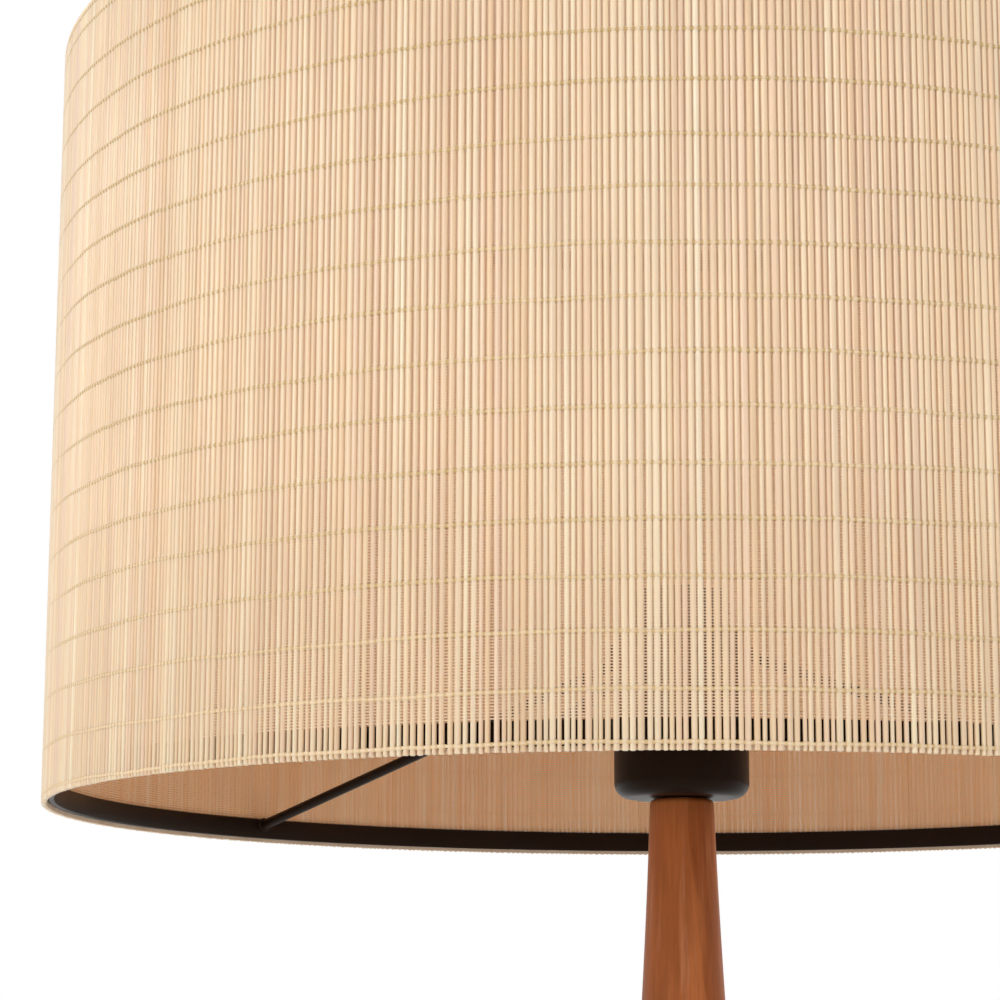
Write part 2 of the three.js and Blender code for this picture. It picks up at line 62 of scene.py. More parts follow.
camera = bpy.data.objects.new("photoCamera", bpy.data.cameras.new("photoCamera"))
camera.data.lens = photoView["lens"]
camera.data.sensor_width = 36
camera.location = (0, -photoView["distance"], rimHeight - photoView["belowRim"])
aim = Matrix.Rotation(photoView["turn"], 3, "Z") @ Matrix.Rotation(math.pi / 2 + photoView["pitch"], 3, "X")
camera.rotation_euler = (aim @ Matrix.Rotation(photoView["roll"], 3, "Z")).to_euler()
bpy.context.scene.collection.objects.link(camera)
bpy.context.scene.camera = camera
bpy.context.scene.view_settings.view_transform = "Standard"
print("camera placed")


# node helpers

def screenColor(red, green, blue):
    # a colour as it is read off a screen, 0 to 255, made linear
    channels = []
    for value in (red, green, blue):
        share = value / 255
        channels.append(share / 12.92 if share <= 0.04045 else ((share + 0.055) / 1.055) ** 2.4)
    return (*channels, 1)


def addNode(tree, kind, inputs=None, **settings):
    node = tree.nodes.new(kind)
    for key, value in settings.items():
        setattr(node, key, value)
    for socket, value in (inputs or {}).items():
        if isinstance(value, bpy.types.NodeSocket):
            tree.links.new(value, node.inputs[socket])
        else:
            node.inputs[socket].default_value = value
    return node


def mathOut(tree, operation, first, second=0.0, clamp=False):
    node = addNode(tree, "ShaderNodeMath", {0: first, 1: second}, operation=operation, use_clamp=clamp)
    return node.outputs[0]


def mixColors(tree, factor, first, second, blend="MIX"):
    node = addNode(tree, "ShaderNodeMix", {0: factor, 6: first, 7: second}, data_type="RGBA", blend_type=blend)
    return node.outputs[2]


def remap(tree, value, fromLow, fromHigh, toLow, toHigh):
    inputs = {0: value, 1: fromLow, 2: fromHigh, 3: toLow, 4: toHigh}
    return addNode(tree, "ShaderNodeMapRange", inputs).outputs[0]


def colorRamp(tree, factor, stops):
    node = addNode(tree, "ShaderNodeValToRGB", {0: factor})
    ramp = node.color_ramp
    while len(ramp.elements) < len(stops):
        ramp.elements.new(0.5)
    for element, (place, color) in zip(ramp.elements, stops):
        element.position = place
        element.color = color
    return node.outputs[0]


def scaledCoordinates(tree, vector, scale):
    return addNode(tree, "ShaderNodeVectorMath", {0: vector, 1: scale}, operation="MULTIPLY").outputs[0]


def newGroup(name, inputs, outputs):
    tree = bpy.data.node_groups.new(name, "ShaderNodeTree")
    for label, kind, value in inputs:
        socket = tree.interface.new_socket(label, in_out="INPUT", socket_type=kind)
        if value is not None:
            socket.default_value = value
    for label, kind in outputs:
        tree.interface.new_socket(label, in_out="OUTPUT", socket_type=kind)
    return tree, tree.nodes.new("NodeGroupInput"), tree.nodes.new("NodeGroupOutput")


def useGroup(tree, group, inputs):
    return addNode(tree, "ShaderNodeGroup", inputs, node_tree=group)


def newMaterial(name, **settings):
    material = bpy.data.materials.new(name)
    material.use_nodes = True
    tree = material.node_tree
    shader = tree.nodes["Principled BSDF"]
    for socket, value in settings.items():
        shader.inputs[socket.replace("_", " ")].default_value = value
    place = tree.nodes.new("ShaderNodeTexCoord").outputs["Object"]
    return material, tree, shader, place


def addBump(tree, shader, height, distance, strength=1.0):
    bump = addNode(tree, "ShaderNodeBump", {"Height": height, "Distance": distance, "Strength": strength})
    tree.links.new(bump.outputs[0], shader.inputs["Normal"])


# groups used by several finishes

# long streaks that run up the object
streaks, streaksIn, streaksOut = newGroup(
    "streaks",
    [
        ("Vector", "NodeSocketVector", None),
        ("Across", "NodeSocketFloat", 900.0),
        ("Along", "NodeSocketFloat", 12.0),
    ],
    [("Value", "NodeSocketFloat")],
)
streakScale = addNode(streaks, "ShaderNodeCombineXYZ", {
    0: streaksIn.outputs["Across"], 1: streaksIn.outputs["Across"], 2: streaksIn.outputs["Along"]})
streakPlace = scaledCoordinates(streaks, streaksIn.outputs["Vector"], streakScale.outputs[0])
streakNoise = addNode(
    streaks, "ShaderNodeTexNoise", {"Vector": streakPlace, "Scale": 1.0, "Detail": 3.0, "Roughness": 0.6})
streaks.links.new(streakNoise.outputs["Fac"], streaksOut.inputs["Value"])

# fine uneven coat or casting skin, with a slower mask for gloss
coatSkin, coatIn, coatOut = newGroup(
    "coatSkin",
    [
        ("Vector", "NodeSocketVector", None),
        ("Fine", "NodeSocketFloat", 2500.0),
        ("Broad", "NodeSocketFloat", 40.0),
    ],
    [("Height", "NodeSocketFloat"), ("Mask", "NodeSocketFloat")],
)
fineNoise = addNode(coatSkin, "ShaderNodeTexNoise", {
    "Vector": coatIn.outputs["Vector"], "Scale": coatIn.outputs["Fine"], "Detail": 2.0})
broadNoise = addNode(coatSkin, "ShaderNodeTexNoise", {
    "Vector": coatIn.outputs["Vector"], "Scale": coatIn.outputs["Broad"], "Detail": 4.0, "Roughness": 0.6})
coatSkin.links.new(fineNoise.outputs["Fac"], coatOut.inputs["Height"])
coatSkin.links.new(broadNoise.outputs["Fac"], coatOut.inputs["Mask"])

# plain weave wrapped round the shade, with open holes between its threads
gauzeWeave, weaveIn, weaveOut = newGroup(
    "gauzeWeave",
    [
        ("Vector", "NodeSocketVector", None),
        ("Around", "NodeSocketFloat", 1900.0),
        ("Rise", "NodeSocketFloat", 0.0008),
        ("Open Around", "NodeSocketFloat", 0.6),
        ("Open Up", "NodeSocketFloat", 0.6),
        ("Shift", "NodeSocketFloat", 0.0),
    ],
    [("Cover", "NodeSocketFloat"), ("Height", "NodeSocketFloat")],
)


def fillGauzeWeave(tree):
    parts = addNode(tree, "ShaderNodeSeparateXYZ", {0: weaveIn.outputs["Vector"]})
    turn = mathOut(tree, "ARCTAN2", parts.outputs[1], parts.outputs[0])
    around = mathOut(tree, "MULTIPLY", turn, mathOut(tree, "DIVIDE", weaveIn.outputs["Around"], fullTurn))
    shifted = mathOut(tree, "SUBTRACT", parts.outputs[2], weaveIn.outputs["Shift"])
    upward = mathOut(tree, "DIVIDE", shifted, weaveIn.outputs["Rise"])
    folds, masks = [], []
    for place1d, share in ((around, "Open Around"), (upward, "Open Up")):
        folds.append(mathOut(tree, "PINGPONG", place1d, 0.5))  # 0 on a thread's line, 0.5 between threads
        reach = mathOut(tree, "MULTIPLY", mathOut(tree, "SUBTRACT", 1.0, weaveIn.outputs[share]), 0.5)
        masks.append(mathOut(tree, "LESS_THAN", folds[-1], reach))
    tree.links.new(mathOut(tree, "MAXIMUM", *masks), weaveOut.inputs["Cover"])
    tree.links.new(mathOut(tree, "MULTIPLY", *folds), weaveOut.inputs["Height"])


fillGauzeWeave(gauzeWeave)
print("shared node groups made")


# finishes

reedFinish = {
    "tones": [
        (0.0, screenColor(245, 222, 191)),
        (0.25, screenColor(243, 217, 184)),
        (0.5, screenColor(239, 210, 174)),
        (0.68, screenColor(240, 209, 181)),
        (0.84, screenColor(236, 203, 165)),
        (0.94, screenColor(249, 229, 200)),
        (1.0, screenColor(231, 196, 156)),
    ],
    "warmPatch": screenColor(238, 202, 162),
    "patchScale": 7.0,
    "patchAmount": 0.35,
    "streakDepth": 0.2,
}


def reedMaterial():
    material, tree, shader, place = newMaterial(
        "naturalReed", Specular_IOR_Level=0.5, Coat_Roughness=0.16, Coat_IOR=1.45,
        Subsurface_Weight=0.5, Subsurface_Scale=0.0014, Subsurface_Radius=(1.0, 0.8, 0.62))
    tone = addNode(tree, "ShaderNodeAttribute", attribute_name="reedTone").outputs["Fac"]
    toneSeed = mathOut(tree, "MULTIPLY", tone, 917.0)
    spread = addNode(tree, "ShaderNodeTexWhiteNoise", {"W": toneSeed}, noise_dimensions="1D")
    base = colorRamp(tree, tone, reedFinish["tones"])
    patchScale = reedFinish["patchScale"]
    patch = addNode(tree, "ShaderNodeTexNoise", {"Vector": place, "Scale": patchScale, "Detail": 2.0})
    patchMask = remap(tree, patch.outputs["Fac"], 0.4, 0.7, 0.0, reedFinish["patchAmount"])
    warmed = mixColors(tree, patchMask, base, reedFinish["warmPatch"])
    fine = useGroup(tree, streaks, {"Vector": place, "Across": 1100.0, "Along": 7.0}).outputs["Value"]
    broad = useGroup(tree, streaks, {"Vector": place, "Across": 160.0, "Along": 14.0}).outputs["Value"]
    depth = reedFinish["streakDepth"]
    lighter = remap(tree, fine, 0.3, 0.7, 1 - depth / 2, 1 + depth / 2)
    lengthwise = remap(tree, broad, 0.3, 0.7, 1 - depth / 3, 1 + depth / 3)
    value = mathOut(tree, "MULTIPLY", lighter, lengthwise)
    level = addNode(tree, "ShaderNodeCombineColor", {0: value, 1: value, 2: value}).outputs[0]
    colored = mixColors(tree, 1.0, warmed, level, "MULTIPLY")
    tree.links.new(colored, shader.inputs["Base Color"])
    tree.links.new(remap(tree, spread.outputs["Value"], 0.0, 1.0, 0.3, 0.42), shader.inputs["Roughness"])
    tree.links.new(remap(tree, spread.outputs["Value"], 0.3, 1.0, 0.5, 0.0), shader.inputs["Coat Weight"])
    addBump(tree, shader, fine, 0.00006)
    return material


# thread colours: its own colour on the reeds' crowns, and a darker colour that is painted shade where it dips
# into the hollows between the reeds
threadFinish = {
    "light": screenColor(244, 216, 180),
    "dark": screenColor(200, 167, 114),
}


def threadMaterial():
    material, tree, shader, place = newMaterial("flaxThread", Roughness=0.75, Specular_IOR_Level=0.25)
    broad = addNode(tree, "ShaderNodeTexNoise", {"Vector": place, "Scale": 12.0, "Detail": 2.0}).outputs["Fac"]
    fine = addNode(tree, "ShaderNodeTexNoise", {"Vector": place, "Scale": 1800.0, "Detail": 2.0}).outputs["Fac"]
    # painted shade: the thread is coloured darker the deeper it dips between the reeds, and this darkening
    # grows towards the top of the shade
    dip = addNode(tree, "ShaderNodeAttribute", attribute_name="threadDip").outputs["Fac"]
    height = addNode(tree, "ShaderNodeSeparateXYZ", {0: place}).outputs[2]
    hollowShadeShare = mathOut(tree, "MULTIPLY", dip, remap(tree, height, rimHeight, shadeTop, 1.0, 3.6))
    share = mathOut(tree, "ADD", remap(tree, broad, 0.35, 0.65, -0.15, 0.2), hollowShadeShare, clamp=True)
    color = mixColors(tree, share, threadFinish["light"], threadFinish["dark"])
    tree.links.new(color, shader.inputs["Base Color"])
    addBump(tree, shader, fine, 0.00012)
    return material


linerFinish = {
    "threadsAround": 1900.0,  # about 0.75 mm apart
    "pitchUp": 0.0009,
    "openAround": 0.84,  # shares of the pitch that are hole
    "openUp": 0.55,
    "rowShift": 0.00026,  # the rows sit higher than those of the cloth between the reeds
    "color": screenColor(254, 208, 158),
    "shade": screenColor(250, 194, 140),
    "pale": screenColor(255, 226, 190),
}


def linerMaterial():
    material, tree, shader, place = newMaterial("linerGauze", Roughness=0.85, Specular_IOR_Level=0.2)
    weave = useGroup(tree, gauzeWeave, {
        "Vector": place,
        "Around": linerFinish["threadsAround"],
        "Rise": linerFinish["pitchUp"],
        "Open Around": linerFinish["openAround"],
        "Open Up": linerFinish["openUp"],
        "Shift": linerFinish["rowShift"],
    })
    tree.links.new(weave.outputs["Cover"], shader.inputs["Alpha"])
    wide = useGroup(tree, streaks, {"Vector": place, "Across": 55.0, "Along": 5.0}).outputs["Value"]
    narrow = useGroup(tree, streaks, {"Vector": place, "Across": 320.0, "Along": 9.0}).outputs["Value"]
    color = mixColors(tree, remap(tree, wide, 0.35, 0.65, 0.0, 1.0), linerFinish["color"], linerFinish["shade"])
    color = mixColors(tree, remap(tree, narrow, 0.52, 0.72, 0.0, 0.7), color, linerFinish["pale"])
    tree.links.new(color, shader.inputs["Base Color"])
    addBump(tree, shader, weave.outputs["Height"], 0.00015, 0.6)
    return material


def coatedMaterial(
        name, dark, light, roughness, fine, broad, bump, metallic=0.0, specular=0.5, tint=(1, 1, 1, 1)):
    material, tree, shader, place = newMaterial(
        name, Metallic=metallic, Specular_IOR_Level=specular, Specular_Tint=tint)
    skin = useGroup(tree, coatSkin, {"Vector": place, "Fine": fine, "Broad": broad})
    mask = remap(tree, skin.outputs["Mask"], 0.35, 0.65, 0.0, 1.0)
    tree.links.new(mixColors(tree, mask, dark, light), shader.inputs["Base Color"])
    low, high = roughness
    tree.links.new(remap(tree, skin.outputs["Mask"], 0.3, 0.7, low, high), shader.inputs["Roughness"])
    addBump(tree, shader, skin.outputs["Height"], bump)
    return material


# the black coat's warm specular tint is a painted reflection: it stands in for the warm reeds and liner that
# the black parts reflect
blackCoat = coatedMaterial(
    "satinBlackCoat", screenColor(22, 13, 8), screenColor(28, 17, 10), (0.34, 0.44), 2600.0, 30.0, 0.00003,
    specular=0.14, tint=(1.0, 0.7, 0.52, 1))
blackResin = coatedMaterial(
    "blackResin", screenColor(17, 15, 14), screenColor(24, 22, 20), (0.3, 0.42), 1500.0, 60.0, 0.00002)
zincSteel = coatedMaterial(
    "zincSteel", screenColor(176, 178, 182), screenColor(202, 203, 205), (0.28, 0.42), 900.0, 120.0, 0.00002,
    metallic=0.9)
lampBrass = coatedMaterial(
    "lampBrass", screenColor(196, 158, 84), screenColor(222, 188, 116), (0.22, 0.36), 900.0, 150.0, 0.00002,
    metallic=1.0)
castIron = coatedMaterial(
    "castIron", screenColor(52, 52, 54), screenColor(76, 74, 74), (0.65, 0.85), 700.0, 90.0, 0.0002,
    metallic=0.4)
glazedCeramic = coatedMaterial(
    "glazedCeramic", screenColor(226, 222, 212), screenColor(240, 237, 230), (0.12, 0.22), 500.0, 80.0, 0.00002)
blackRubber = coatedMaterial(
    "blackRubber", screenColor(28, 28, 28), screenColor(40, 39, 38), (0.7, 0.85), 1800.0, 90.0, 0.00004)
pressedFelt = coatedMaterial(
    "pressedFelt", screenColor(38, 36, 34), screenColor(58, 54, 51), (0.9, 1.0), 2200.0, 300.0, 0.0003,
    specular=0.1)


woodFinish = {
    "ringPitch": 0.017,
    "early": screenColor(187, 110, 60),
    "late": screenColor(137, 70, 29),
    "pink": screenColor(208, 150, 116),
    "pore": screenColor(96, 48, 24),
}

# grain of turned wood: the tree's rings cut by the column's surface, with fibres and pores
woodGrain, woodIn, woodOut = newGroup(
    "woodGrain",
    [
        ("Vector", "NodeSocketVector", None),
        ("Heart", "NodeSocketVector", (0.03, 0.02, 0.0)),
        ("Lean", "NodeSocketFloat", 0.05),
    ],
    [("Color", "NodeSocketColor"), ("Roughness", "NodeSocketFloat"), ("Height", "NodeSocketFloat")],
)


def fillWoodGrain(tree):
    vector = woodIn.outputs["Vector"]
    parts = addNode(tree, "ShaderNodeSeparateXYZ", {0: vector})
    heart = addNode(tree, "ShaderNodeSeparateXYZ", {0: woodIn.outputs["Heart"]})
    rise = mathOut(tree, "SUBTRACT", parts.outputs[2], heart.outputs[2])
    lean = mathOut(tree, "MULTIPLY", rise, woodIn.outputs["Lean"])
    slow = useGroup(tree, streaks, {"Vector": vector, "Across": 30.0, "Along": 5.0}).outputs["Value"]
    sway = mathOut(tree, "MULTIPLY", mathOut(tree, "SUBTRACT", slow, 0.5), 0.03)
    sideX = mathOut(tree, "ADD", mathOut(tree, "SUBTRACT", parts.outputs[0], heart.outputs[0]), lean)
    sideY = mathOut(tree, "ADD", mathOut(tree, "SUBTRACT", parts.outputs[1], heart.outputs[1]), sway)
    flat = addNode(tree, "ShaderNodeCombineXYZ", {0: sideX, 1: sideY, 2: 0.0}).outputs[0]
    distance = addNode(tree, "ShaderNodeVectorMath", {0: flat}, operation="LENGTH").outputs["Value"]
    ring = mathOut(tree, "FRACT", mathOut(tree, "DIVIDE", distance, woodFinish["ringPitch"]))
    late = addNode(tree, "ShaderNodeFloatCurve", {1: ring})
    curve = late.mapping.curves[0]
    curve.points[0].location = (0.0, 0.15)
    curve.points[1].location = (1.0, 0.1)
    curve.points.new(0.5, 0.4)
    curve.points.new(0.82, 1.0)
    late.mapping.update()
    fibres = useGroup(tree, streaks, {"Vector": vector, "Across": 900.0, "Along": 16.0}).outputs["Value"]
    bands = useGroup(tree, streaks, {"Vector": vector, "Across": 190.0, "Along": 9.0}).outputs["Value"]
    lateShare = mathOut(tree, "MULTIPLY", late.outputs[0], 0.75)
    share = mathOut(tree, "ADD", lateShare, remap(tree, bands, 0.3, 0.7, -0.2, 0.35), clamp=True)
    color = mixColors(tree, share, woodFinish["early"], woodFinish["late"])
    pinks = useGroup(tree, streaks, {"Vector": vector, "Across": 260.0, "Along": 11.0}).outputs["Value"]
    pinkMask = remap(tree, pinks, 0.56, 0.78, 0.0, 0.45)
    color = mixColors(tree, pinkMask, color, woodFinish["pink"])
    fibreLevel = remap(tree, fibres, 0.3, 0.7, 0.86, 1.12)
    level = addNode(tree, "ShaderNodeCombineColor", {0: fibreLevel, 1: fibreLevel, 2: fibreLevel}).outputs[0]
    color = mixColors(tree, 1.0, color, level, "MULTIPLY")
    pores = useGroup(tree, streaks, {"Vector": vector, "Across": 2600.0, "Along": 120.0}).outputs["Value"]
    poreMask = remap(tree, pores, 0.66, 0.74, 0.0, 0.55)
    color = mixColors(tree, poreMask, color, woodFinish["pore"])
    tree.links.new(color, woodOut.inputs["Color"])
    tree.links.new(remap(tree, fibres, 0.3, 0.7, 0.42, 0.56), woodOut.inputs["Roughness"])
    height = mathOut(tree, "SUBTRACT", mathOut(tree, "MULTIPLY", fibres, 0.5), poreMask)
    tree.links.new(height, woodOut.inputs["Height"])


fillWoodGrain(woodGrain)


def woodMaterial(name, heart, lean):
    warmGloss = (1.0, 0.84, 0.68, 1)
    material, tree, shader, place = newMaterial(name, Specular_IOR_Level=0.24, Specular_Tint=warmGloss)
    grain = useGroup(tree, woodGrain, {"Vector": place, "Heart": heart, "Lean": lean})
    tree.links.new(grain.outputs["Color"], shader.inputs["Base Color"])
    tree.links.new(grain.outputs["Roughness"], shader.inputs["Roughness"])
    addBump(tree, shader, grain.outputs["Height"], 0.00008)
    return material


print("finishes made")


# mesh helpers

mergeDistance = 1e-7
sameSpot = 1e-6


def fullSpin(bm, profile, steps):
    bmesh.ops.spin(
        bm, geom=profile, cent=(0, 0, 0), axis=(0, 0, 1), angle=fullTurn, steps=steps, use_merge=True)
    bmesh.ops.remove_doubles(bm, verts=bm.verts, dist=mergeDistance)
    bmesh.ops.recalc_face_normals(bm, faces=bm.faces)


def spinOutline(outline, steps):
    # outline of (radius, height) or (radius, height, rounding) points, closed, turned about the vertical axis
    bm = bmesh.new()
    verts = [bm.verts.new((point[0], 0, point[1])) for point in outline]
    edges = [bm.edges.new(pair) for pair in zip(verts, verts[1:] + verts[:1])]
    fullSpin(bm, verts + edges, steps)
    for point in outline:
        if len(point) > 2:
            bevelRing(bm, point[0], point[1], point[2])
    return bm


def bevelRing(bm, radius, height, amount, segments=4):
    def isOnRing(vert):
        offRing = abs(math.hypot(vert.co.x, vert.co.y) - radius)
        return abs(vert.co.z - height) < sameSpot and offRing < sameSpot
    ring = [edge for edge in bm.edges if isOnRing(edge.verts[0]) and isOnRing(edge.verts[1])]
    bmesh.ops.bevel(bm, geom=ring, offset=amount, segments=segments, profile=0.5, affect="EDGES", material=-1)


def makePiece(name, bm, material, replaced=(), body="lamp", sharpAngle=35):
    mesh = bpy.data.meshes.new(name)
    bm.to_mesh(mesh)
    bm.free()
    mesh.materials.append(material)
    mesh.shade_smooth()
    mesh.set_sharp_from_angle(angle=math.radians(sharpAngle))
    piece = bpy.data.objects.new(name, mesh)
    bpy.context.scene.collection.objects.link(piece)
    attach(piece, body)
    if replaced:
        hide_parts(*replaced)
    print("made", name, len(mesh.polygons), "faces")
    return piece


# reeds of the shade

reeds = {
    "count": 668,
    "depth": 0.00186,  # through the mat
    "fill": 0.87,  # width of a reed as a share of its room
    "spread": 0.24,  # how much the rooms differ in width
    "sway": [0.0002, 0.00014, 0.0001, 0.00012],  # how far a reed wanders sideways, from the lower end up
    "sides": 8,
    "stretches": 3,  # lengths that a reed is bent in
    "endRounding": 0.0004,
    "taper": [0.87, 1.02, 1.02, 1.0],  # of the width, from the lower end up
    "widths": (0.9, 1.1),  # how much one reed's width differs from the next one's
    "swells": (0.96, 1.05),  # how much it changes along the reed
    "leastDepth": 0.00172,
    "endWidth": 0.72,  # of a reed's rounded ends
    "endStep": 0.00015,  # how far the ends of the reeds vary
    "seed": 11,
}
threadRadius = 0.00014
matCentre = shadeRadius - 2 * threadRadius - reeds["depth"] / 2 + 0.0002


def reedRooms():
    # centre and width of each reed's room, in radians, starting at the seam at the back
    choose = random.Random(reeds["seed"])
    shares = [1 + reeds["spread"] * choose.uniform(-1, 1) for _ in range(reeds["count"])]
    total = sum(shares)
    rooms, start = [], math.pi / 2
    for share in shares:
        width = fullTurn * share / total
        rooms.append((start + width / 2, width))
        start += width
    return rooms


def reedTemplate():
    # one reed of unit width and depth at the origin, full length, with rounded ends
    bm = bmesh.new()
    length = shadeTop - rimHeight
    bmesh.ops.create_cone(bm, cap_ends=True, segments=reeds["sides"], radius1=0.5, radius2=0.5, depth=length)
    middle = Matrix.Translation((0, 0, rimHeight + length / 2))
    bmesh.ops.transform(bm, matrix=middle, verts=bm.verts)
    heights = [rimHeight + length * step / reeds["stretches"] for step in range(1, reeds["stretches"])]
    heights += [rimHeight + reeds["endRounding"], shadeTop - reeds["endRounding"]]
    for height in heights:
        everything = bm.verts[:] + bm.edges[:] + bm.faces[:]
        bmesh.ops.bisect_plane(bm, geom=everything, plane_co=(0, 0, height), plane_no=(0, 0, 1))
    for vert in bm.verts:
        if vert.co.z < rimHeight + 1e-5 or vert.co.z > shadeTop - 1e-5:
            vert.co.x *= reeds["endWidth"]
            vert.co.y *= reeds["endWidth"]
    mesh = bpy.data.meshes.new("reedTemplate")
    bm.to_mesh(mesh)
    bm.free()
    return mesh


def makeReeds(rooms):
    choose = random.Random(reeds["seed"] + 1)
    template = reedTemplate()
    perReed = len(template.vertices)
    bm = bmesh.new()
    for angle, room in rooms:
        start = len(bm.verts)
        bm.from_mesh(template)
        bm.verts.ensure_lookup_table()
        verts = bm.verts[start:]
        width = room * matCentre * reeds["fill"] * choose.uniform(*reeds["widths"])
        depth = min(reeds["depth"], max(reeds["leastDepth"], width * 1.08))
        drift = {}
        for vert in verts:
            level = round((vert.co.z - rimHeight) / (shadeTop - rimHeight) * reeds["stretches"])
            if level not in drift:
                sideStep = choose.uniform(-1, 1) * reeds["sway"][level]
                drift[level] = (sideStep, choose.uniform(*reeds["swells"]) * reeds["taper"][level])
            aside, swell = drift[level]
            vert.co.x *= depth
            vert.co.y = vert.co.y * width * swell + aside
        ends = (choose.uniform(0, reeds["endStep"]), choose.uniform(0, reeds["endStep"]))
        for vert in verts:
            if vert.co.z < rimHeight + 0.001:
                vert.co.z += ends[0]
            elif vert.co.z > shadeTop - 0.001:
                vert.co.z -= ends[1]
        turn = Matrix.Rotation(angle, 4, "Z") @ Matrix.Translation((matCentre, 0, 0))
        bmesh.ops.transform(bm, matrix=turn, verts=verts)
    bpy.data.meshes.remove(template)
    bmesh.ops.recalc_face_normals(bm, faces=bm.faces)
    piece = makePiece("reedMat", bm, reedMaterial(), ["shade_reeds"], sharpAngle=60)
    tones = [choose.random() for _ in rooms]  # one tone for all of a reed
    values = [tones[index // perReed] for index in range(len(piece.data.vertices))]
    piece.data.attributes.new("reedTone", "FLOAT", "POINT").data.foreach_set("value", values)
    return piece


# threads that tie the reeds, dipping between them

threads = {
    "firstRow": 0.0174,  # above the rim
    "rowPitch": 0.01648,
    "rows": 16,
    "pairShift": 0.0004,  # every other row sits higher by this much
    "bindingInset": 0.0022,  # of the rows next to the edges
    "wave": 0.0006,
    "jitter": 0.00012,
    "stationsPerReed": 4,
    "sides": 4,
    "dip": 0.00036,
    "height": [2.8, 5.2],  # of the thread's section, as a share of its depth, on a reed and between two
    "seed": 5,
}


def threadRow(rooms):
    # one closed thread, spun as a plain ring and then laid over the reeds
    bm = bmesh.new()
    side = Matrix.Translation((shadeRadius - 1.1 * threadRadius, 0, 0)) @ Matrix.Rotation(math.pi / 2, 4, "X")
    sides = threads["sides"]
    made = bmesh.ops.create_circle(bm, cap_ends=False, segments=sides, radius=threadRadius, matrix=side)
    steps = threads["stationsPerReed"] * len(rooms)
    fullSpin(bm, made["verts"] + bm.edges[:], steps)
    profile = [1.0, 0.25, 0.0, 0.25]  # how far the thread dips at each station of a reed
    for vert in bm.verts:
        turn = math.atan2(vert.co.y, vert.co.x) % fullTurn
        station = round(turn / fullTurn * steps) % steps
        reed, phase = divmod(station, threads["stationsPerReed"])
        centre, width = rooms[reed]
        angle = centre + width * (phase / threads["stationsPerReed"] - 0.5)
        radius = math.hypot(vert.co.x, vert.co.y) - threads["dip"] * profile[phase]
        vert.co.x = radius * math.cos(angle)
        vert.co.y = radius * math.sin(angle)
        crown, hollow = threads["height"]
        vert.co.z *= crown + (hollow - crown) * profile[phase]
    mesh = bpy.data.meshes.new("threadRow")
    bm.to_mesh(mesh)
    bm.free()
    return mesh


def makeThreads(name, rowMesh, heights, material, seed):
    choose = random.Random(seed)
    bm = bmesh.new()
    for height in heights:
        start = len(bm.verts)
        bm.from_mesh(rowMesh)
        bm.verts.ensure_lookup_table()
        phases = [choose.uniform(0, fullTurn) for _ in range(3)]
        jitter = {}
        for vert in bm.verts[start:]:
            angle = math.atan2(vert.co.y, vert.co.x)
            wave = math.sin(5 * angle + phases[0]) + 0.6 * math.sin(13 * angle + phases[1])
            wave += 0.4 * math.sin(31 * angle + phases[2])
            key = round(angle * len(reedPlaces) / fullTurn)
            if key not in jitter:
                jitter[key] = choose.uniform(-1, 1) * threads["jitter"]
            vert.co.z += height + wave * threads["wave"] / 2 + jitter[key]
    outer = shadeRadius - threadRadius
    depths = [(outer - math.hypot(vert.co.x, vert.co.y)) / threads["dip"] for vert in bm.verts]
    dips = [min(1.0, max(0.0, depth)) for depth in depths]
    piece = makePiece(name, bm, material, sharpAngle=80)
    piece.data.attributes.new("threadDip", "FLOAT", "POINT").data.foreach_set("value", dips)
    return piece


reedPlaces = reedRooms()
makeReeds(reedPlaces)
rowHeights = [rimHeight + threads["bindingInset"]]
for row in range(threads["rows"]):
    shift = threads["pairShift"] * (row % 2)
    rowHeights.append(rimHeight + threads["firstRow"] + row * threads["rowPitch"] + shift)
rowHeights.append(shadeTop - threads["bindingInset"])
singleRow = threadRow(reedPlaces)
flax = threadMaterial()
half = len(rowHeights) // 2
makeThreads("lowerThreads", singleRow, rowHeights[:half], flax, threads["seed"])
makeThreads("upperThreads", singleRow, rowHeights[half:], flax, threads["seed"] + 1)
bpy.data.meshes.remove(singleRow)


# cloth pressed up between the reeds, and a narrow tape at each edge of the mat

backing = {
    "depth": 0.00054,  # below the reeds' outer sides
    "thickness": 0.0003,
    "color": screenColor(244, 213, 180),
    "shade": screenColor(232, 198, 164),
    "threadsAround": 1820.0,
    "pitchUp": 0.0009,
    "openAround": 1.0,  # shares of the pitch that are hole
    "openUp": 0.6,
    "tapeHeight": 0.0014,
    "tapeInset": 0.0003,
    "tapeDepth": 0.0016,
    "tapeColor": screenColor(234, 209, 184),
    "tapeShade": screenColor(220, 193, 165),
    "steps": 240,
}


def backingMaterial():
    material, tree, shader, place = newMaterial("backingCloth", Roughness=0.85, Specular_IOR_Level=0.2)
    slow = useGroup(tree, streaks, {"Vector": place, "Across": 300.0, "Along": 40.0}).outputs["Value"]
    color = mixColors(tree, remap(tree, slow, 0.35, 0.65, 0.0, 1.0), backing["color"], backing["shade"])
    tree.links.new(color, shader.inputs["Base Color"])
    weave = useGroup(tree, gauzeWeave, {
        "Vector": place, "Around": backing["threadsAround"], "Rise": backing["pitchUp"],
        "Open Around": backing["openAround"], "Open Up": backing["openUp"]})
    tree.links.new(weave.outputs["Cover"], shader.inputs["Alpha"])
    addBump(tree, shader, weave.outputs["Height"], -0.0003, 0.5)
    return material


def makeBacking(name, outer, bottom, top, material):
    inner = outer - backing["thickness"]
    outline = [(inner, bottom), (outer, bottom), (outer, top), (inner, top)]
    return makePiece(name, spinOutline(outline, backing["steps"]), material)


